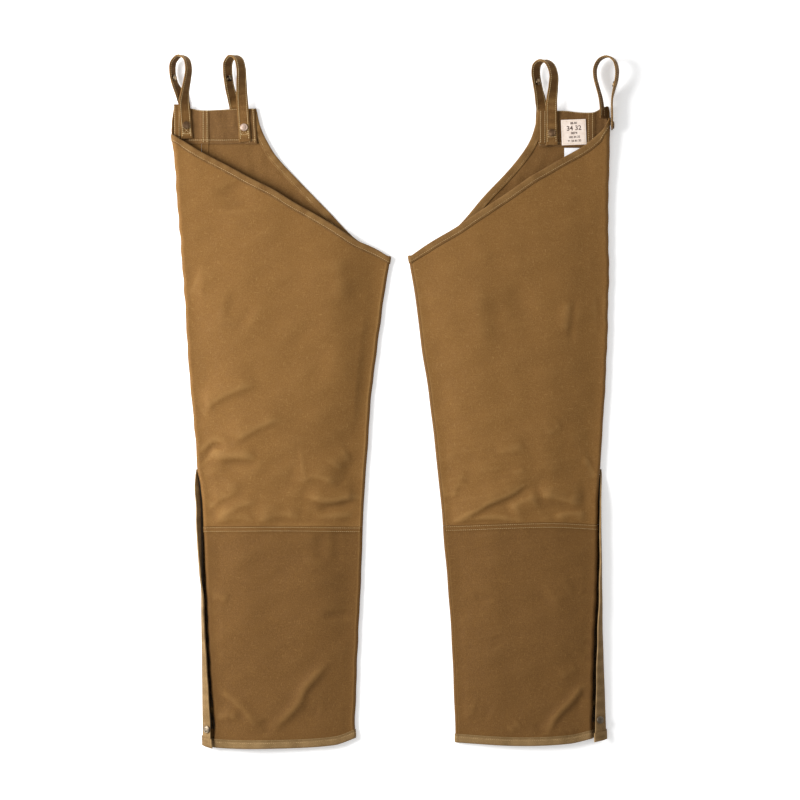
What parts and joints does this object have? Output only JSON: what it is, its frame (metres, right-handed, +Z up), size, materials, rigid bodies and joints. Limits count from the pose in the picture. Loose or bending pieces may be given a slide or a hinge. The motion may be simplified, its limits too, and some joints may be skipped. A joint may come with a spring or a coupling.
{
  "type": "pair of leg chaps",
  "caption": "Waxed canvas leg chaps laid flat: tube legs with bound edges, side zips under storm flaps, and snapped belt loops at the waist.",
  "frame": {"origin": "centre of the pair's footprint, on the surface it lies on", "axes": "+X across the pair from the wearer's right leg piece on -X, +Y along the legs from hem to waist, +Z up from the surface"},
  "size_m": [0.719, 1.1072, 0.0379],
  "materials": {
    "canvas": "waxed cotton canvas, matt with a soft sheen",
    "canvas_lower": "waxed cotton canvas, darker, matt",
    "binding": "folded canvas strip, matt",
    "webbing": "folded and stitched canvas strap, matt",
    "zip_tape": "woven tape, matt",
    "label": "plain woven patch, matt",
    "care_tag": "smooth satin tape",
    "snap_metal": "aged nickel-coloured cap, satin",
    "stud_metal": "dark bronze, satin",
    "slider_metal": "dull brass"
  },
  "bodies": {
    "root": {"left_front_thigh": "canvas", "left_front_shin": "canvas_lower", "left_back_thigh": "canvas", "left_back_calf": "canvas_lower", "left_front_binding": "binding", "left_back_binding": "binding", "left_front_hem_binding": "binding", "left_back_hem_binding": "binding", "left_yoke": "canvas_lower", "left_back_loop": "webbing", "left_hip_loop": "webbing", "left_back_cap": "snap_metal", "left_back_stud": "stud_metal", "left_hip_cap": "snap_metal", "left_hip_stud": "stud_metal", "left_storm_flap": "binding", "left_hem_cap": "snap_metal", "left_zip_tape_front": "zip_tape", "left_zip_tape_back": "zip_tape", "left_zip_slider": "slider_metal", "right_front_thigh": "canvas", "right_front_shin": "canvas_lower", "right_back_thigh": "canvas", "right_back_calf": "canvas_lower", "right_front_binding": "binding", "right_back_binding": "binding", "right_front_hem_binding": "binding", "right_back_hem_binding": "binding", "right_yoke": "canvas_lower", "right_back_loop": "webbing", "right_hip_loop": "webbing", "right_back_cap": "snap_metal", "right_back_stud": "stud_metal", "right_hip_cap": "snap_metal", "right_hip_stud": "stud_metal", "right_storm_flap": "binding", "right_hem_cap": "snap_metal", "right_zip_tape_front": "zip_tape", "right_zip_tape_back": "zip_tape", "right_zip_slider": "slider_metal", "right_label": "label", "right_care_tag": "care_tag"}
  },
  "joints": []
}
